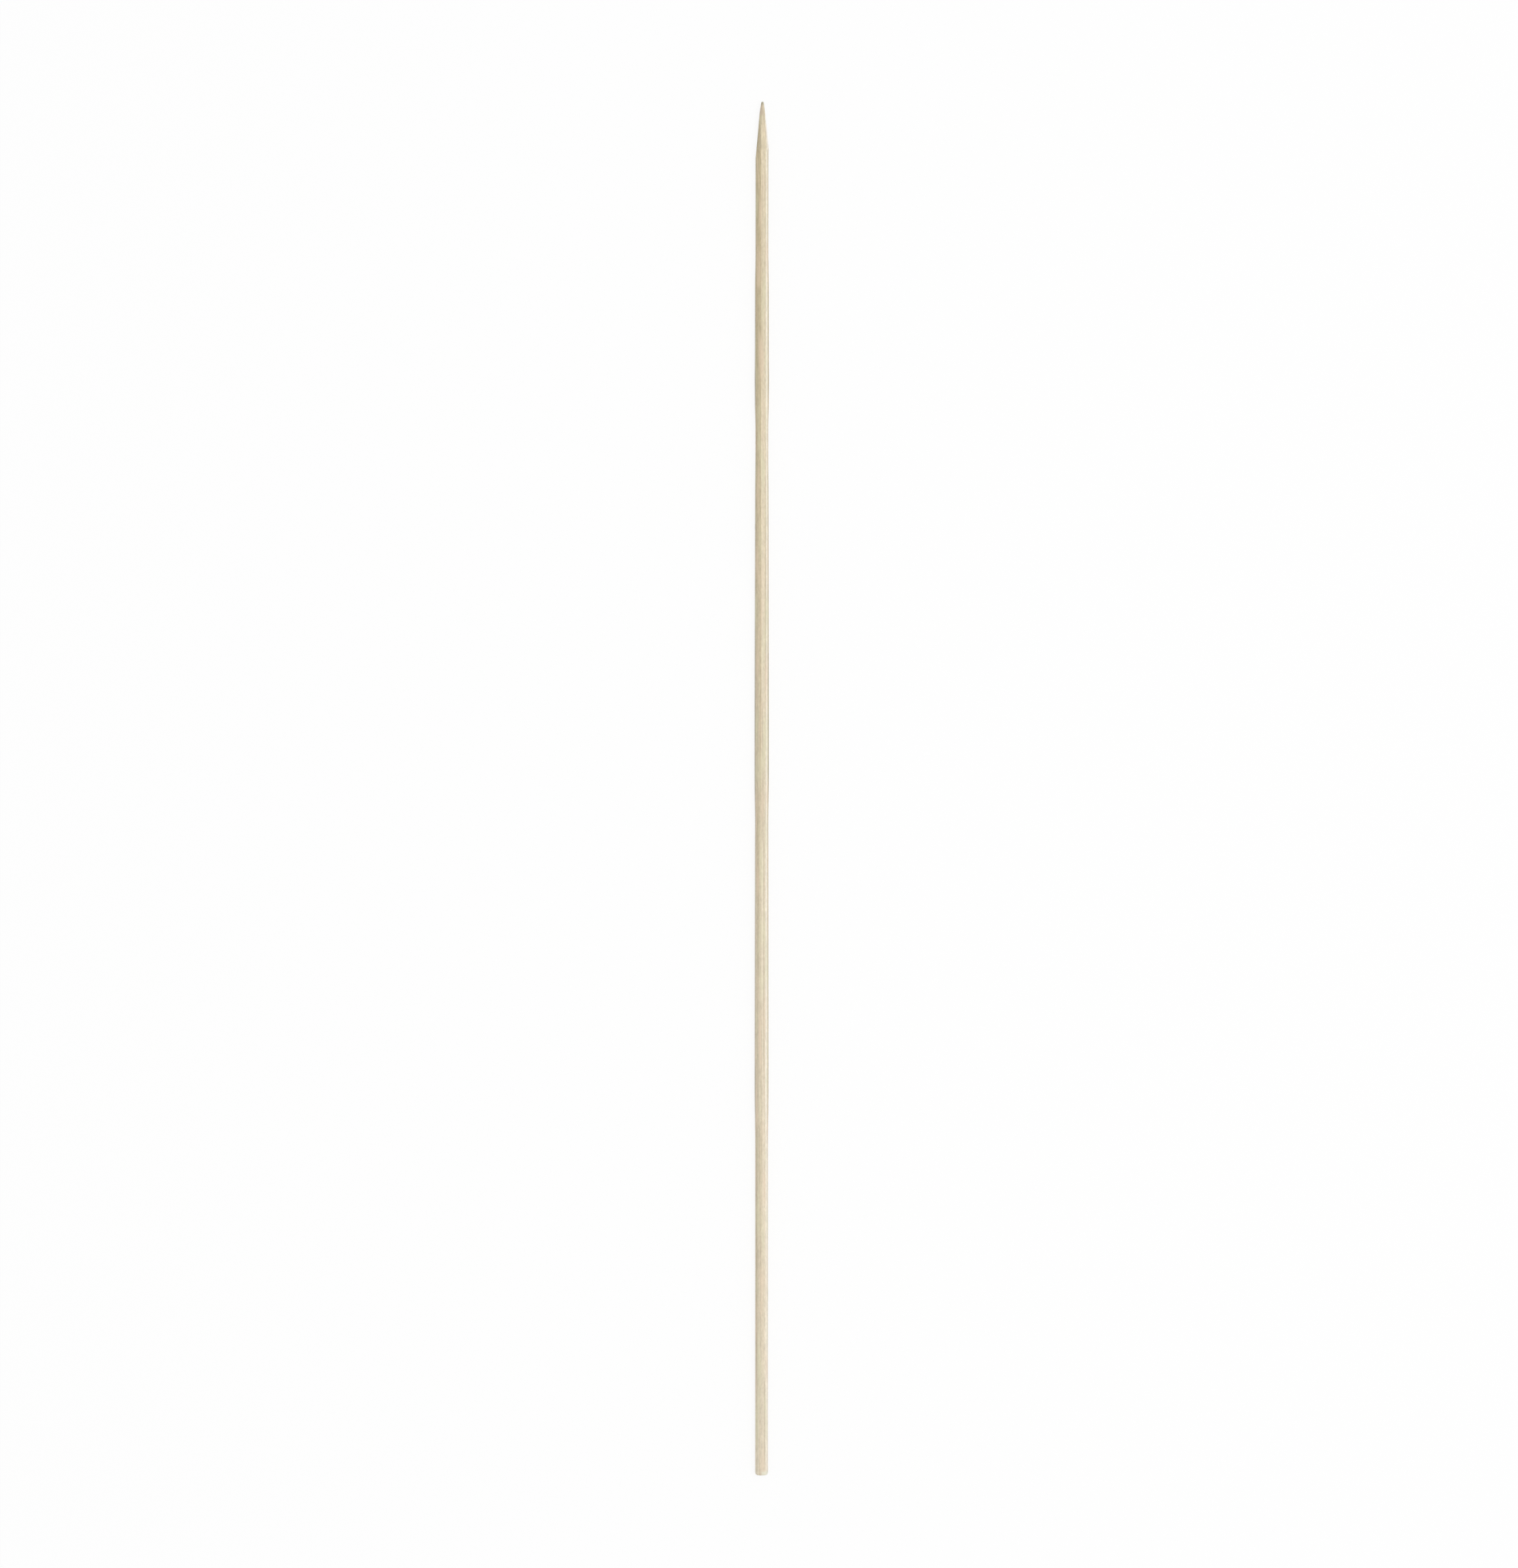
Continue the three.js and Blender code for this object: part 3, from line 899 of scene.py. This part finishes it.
def bamboo_material(finish):
    """Solid bamboo, so that shaft, point and cut end show one grain. Bundles of fibre are cells across the
    stick that hardly change along it: strips on the shaft, long tongues on the point and dots on the cut
    end. Finer and finer noise, stretched along Y, gives the single fibres."""
    s = Shader(MATERIAL)
    place = s.add("TexCoord").outputs["Object"]
    x, y, _ = s.add("SeparateXYZ", Vector=place).outputs
    fine, finest = s.noise(place, *FINE_NOISE), s.noise(place, *FINEST_NOISE)
    colour = streaked(s, wood_tone_and_painted_light(s, finish, place, x, y), place, y, fine, finest)

    dash = s.span(s.noise(place, *DASH_NOISE), *DASH_EDGE)
    groove = s.add("Attribute", {"attribute_name": "groove_depth"}).outputs["Fac"]
    colour = s.mix(s.math("MULTIPLY", dash, DASH_TINT), colour, colour4(finish.crevice))
    # Painted shade in the grooves, as deep as the groove
    colour = s.mix(s.math("MULTIPLY", groove, GROOVE_SHADE), colour, colour4(finish.crevice))

    cloud = s.noise(place, *CLOUD_NOISE)
    colour = s.mix(s.span(cloud, *BLUSH_CLOUDS), colour, colour4(finish.blush))
    colour = s.mix(s.span(cloud, *GREEN_CLOUDS), colour, colour4(finish.green))
    colour = shaded_tip_and_lit_rim(s, finish, colour, x, y, fine)

    least = finish.roughness - ROUGHNESS_RANGE / 2
    rough = s.math("ADD", least, s.math("MULTIPLY", fine, ROUGHNESS_RANGE))
    fibres = s.math("MULTIPLY", fine, FINE_HEIGHT), s.math("MULTIPLY", finest, FINEST_HEIGHT)
    height = s.math("SUBTRACT", s.math("ADD", *fibres), s.math("MULTIPLY", dash, DASH_HEIGHT))
    bump = s.add("Bump", Height=height, Strength=BUMP_STRENGTH, Distance=finish.bump).outputs[0]
    shader = s.add("BsdfPrincipled", Base_Color=colour, Roughness=rough, Normal=bump)
    shader.inputs["Specular IOR Level"].default_value = finish.specular
    output = s.add("OutputMaterial")
    s.links.new(shader.outputs[0], output.inputs[0])
    return s.material


def floor_material(stage):
    """White paper. Seen by the camera or in a gloss, part of its look is plain white, which keeps the
    floor white and the shadow soft; to all other light it is matt white."""
    s = Shader("white_floor")
    path = s.add("LightPath").outputs
    seen = s.math("MAXIMUM", path["Is Camera Ray"], path["Is Glossy Ray"])
    seen = s.math("MAXIMUM", seen, path["Is Transmission Ray"])
    paper = s.add("BsdfDiffuse", Color=PAPER)
    white = s.add("Emission", Color=WHITE, Strength=1.0)
    blend = s.add("MixShader")
    s.plug(blend.inputs[0], s.math("MULTIPLY", seen, stage.floor_white))
    s.links.new(paper.outputs[0], blend.inputs[1])
    s.links.new(white.outputs[0], blend.inputs[2])
    output = s.add("OutputMaterial")
    s.links.new(blend.outputs[0], output.inputs[0])
    return s.material


def white_sky(stage):
    """Even light from all round, which is white where the camera or a gloss sees it."""
    world = bpy.data.worlds.new("white_sky")
    world.use_nodes = True
    nodes, links = world.node_tree.nodes, world.node_tree.links
    nodes.clear()
    path = nodes.new("ShaderNodeLightPath")
    seen = nodes.new("ShaderNodeMath")
    seen.operation = "MAXIMUM"
    links.new(path.outputs["Is Camera Ray"], seen.inputs[0])
    links.new(path.outputs["Is Glossy Ray"], seen.inputs[1])
    strength = nodes.new("ShaderNodeMapRange")
    strength.inputs["To Min"].default_value = stage.sky
    strength.inputs["To Max"].default_value = 1.0
    links.new(seen.outputs[0], strength.inputs["Value"])
    light = nodes.new("ShaderNodeBackground")
    light.inputs["Color"].default_value = WHITE
    links.new(strength.outputs[0], light.inputs["Strength"])
    output = nodes.new("ShaderNodeOutputWorld")
    links.new(light.outputs[0], output.inputs[0])
    return world


# Operators


def finish_piece(piece, material, node=None):
    """Gives a piece its material and body, and hides the node that it stands for, if there is one."""
    piece.data.materials.append(material)
    if node:
        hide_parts(node)
    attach(piece, BODY)


def shared_bamboo(finish):
    """The bamboo material, made when it is first asked for."""
    return bpy.data.materials.get(MATERIAL) or bamboo_material(finish)


class SKEWER_OT_stick(bpy.types.Operator):
    """Build the ground stick with its fibre grooves, worn rim and cut end"""

    bl_idname = "skewer.stick"
    bl_label = "Stick"

    def execute(self, context):
        sizes, relief = context.scene.skewer_sizes, context.scene.skewer_relief
        grid, grooves = stick_vertices(sizes, relief)
        rings, sides = grid.shape[:2]
        poles = np.stack([grid[0].mean(axis=0), grid[-1].mean(axis=0)])
        vertices = np.concatenate([grid.reshape(-1, 3), poles])
        faces = grid_faces(rings, sides, len(vertices) - 2, len(vertices) - 1)
        piece = add_mesh("ground_stick", vertices, faces)
        along, share = ring_places(sizes)
        angle = np.arange(sides)[None, :] * 2 * np.pi / sides
        on_side = smooth(END_STRIP_SHARE, 1.0, share)[:, None]
        # Strip tone, with painted shade and painted light in some of the strips
        tone = strip_tone_and_painted_light(sizes, angle, along[:, None]) * on_side
        grooves = grooves * on_side
        add_attribute(piece, "strip_tone_and_painted_light", np.concatenate([tone.reshape(-1), [0, 0]]))
        add_attribute(piece, "groove_depth", np.concatenate([grooves.reshape(-1), [0, 0]]))
        add_strip_map(piece, grid, sides)
        finish_piece(piece, shared_bamboo(context.scene.skewer_finish), NODE)
        return {"FINISHED"}


class SKEWER_OT_splinters(bpy.types.Operator):
    """Build the fine fibres that lift from the shoulder, the shaft and the cut end"""

    bl_idname = "skewer.splinters"
    bl_label = "Splinters"

    def execute(self, context):
        sizes, relief = context.scene.skewer_sizes, context.scene.skewer_relief
        strands, towards_tip = splinter_vertices(sizes, relief)
        piece = add_mesh("lifted_fibres", strands, splinter_faces(towards_tip, strands.shape[1]))
        finish_piece(piece, shared_bamboo(context.scene.skewer_finish))
        return {"FINISHED"}


class SKEWER_OT_stage(bpy.types.Operator):
    """Build the white floor, the sky, the lamp and the camera above the stick"""

    bl_idname = "skewer.stage"
    bl_label = "Stage"

    def execute(self, context):
        stage, scene = context.scene.skewer_stage, context.scene
        half = stage.floor_size / 2
        corners = np.array([[-half, -half], [half, -half], [half, half], [-half, half]])
        places = np.column_stack([corners, np.full(4, -stage.floor_gap)])
        floor = add_mesh("floor", places, [[0, 1, 2, 3]], smooth_shaded=False)
        floor.data.materials.append(floor_material(stage))
        scene.world = white_sky(stage)

        lamp = bpy.data.lights.new("key_lamp", "AREA")
        lamp.energy, lamp.size = stage.key_power, stage.key_size
        key = bpy.data.objects.new("key_lamp", lamp)
        reach = stage.key_distance
        key.location = (reach * math.cos(stage.key_height), 0.0, reach * math.sin(stage.key_height))
        key.rotation_euler = (0.0, math.pi / 2 - stage.key_height, 0.0)
        scene.collection.objects.link(key)

        camera = bpy.data.objects.new("camera", bpy.data.cameras.new("camera"))
        camera.location = (stage.view_right, stage.view_up, stage.camera_height)
        camera.rotation_euler = (0.0, 0.0, stage.view_roll)
        camera.data.lens = camera.data.sensor_width * stage.camera_height / stage.long_view
        scene.collection.objects.link(camera)
        scene.camera = camera
        scene.view_settings.view_transform = "Standard"
        return {"FINISHED"}


class SKEWER_PT_panel(bpy.types.Panel):
    """Sizes, finish and stage of the skewer, with a button for each piece"""

    bl_idname = "SKEWER_PT_panel"
    bl_label = "Bamboo Skewer"
    bl_space_type = "VIEW_3D"
    bl_region_type = "UI"
    bl_category = "Skewer"

    def draw(self, context):
        layout, scene = self.layout, context.scene
        groups = (scene.skewer_sizes, scene.skewer_relief, scene.skewer_finish, scene.skewer_stage)
        for group in groups:
            column = layout.column(align=True)
            for name in group.__annotations__:
                column.prop(group, name)
        for operator in OPERATORS:
            layout.operator(operator.bl_idname)


GROUPS = {
    "skewer_sizes": SkewerSizes,
    "skewer_relief": SkewerRelief,
    "skewer_finish": SkewerFinish,
    "skewer_stage": SkewerStage,
}
OPERATORS = (SKEWER_OT_stick, SKEWER_OT_splinters, SKEWER_OT_stage)


def register():
    for name, group in GROUPS.items():
        bpy.utils.register_class(group)
        setattr(bpy.types.Scene, name, PointerProperty(type=group))
    for kind in (*OPERATORS, SKEWER_PT_panel):
        bpy.utils.register_class(kind)


def unregister():
    for kind in (SKEWER_PT_panel, *reversed(OPERATORS)):
        bpy.utils.unregister_class(kind)
    for name, group in reversed(GROUPS.items()):
        delattr(bpy.types.Scene, name)
        bpy.utils.unregister_class(group)


def main():
    register()
    bpy.ops.skewer.stick()
    bpy.ops.skewer.splinters()
    bpy.ops.skewer.stage()
    bpy.context.view_layer.update()


if __name__ == "__main__":
    main()
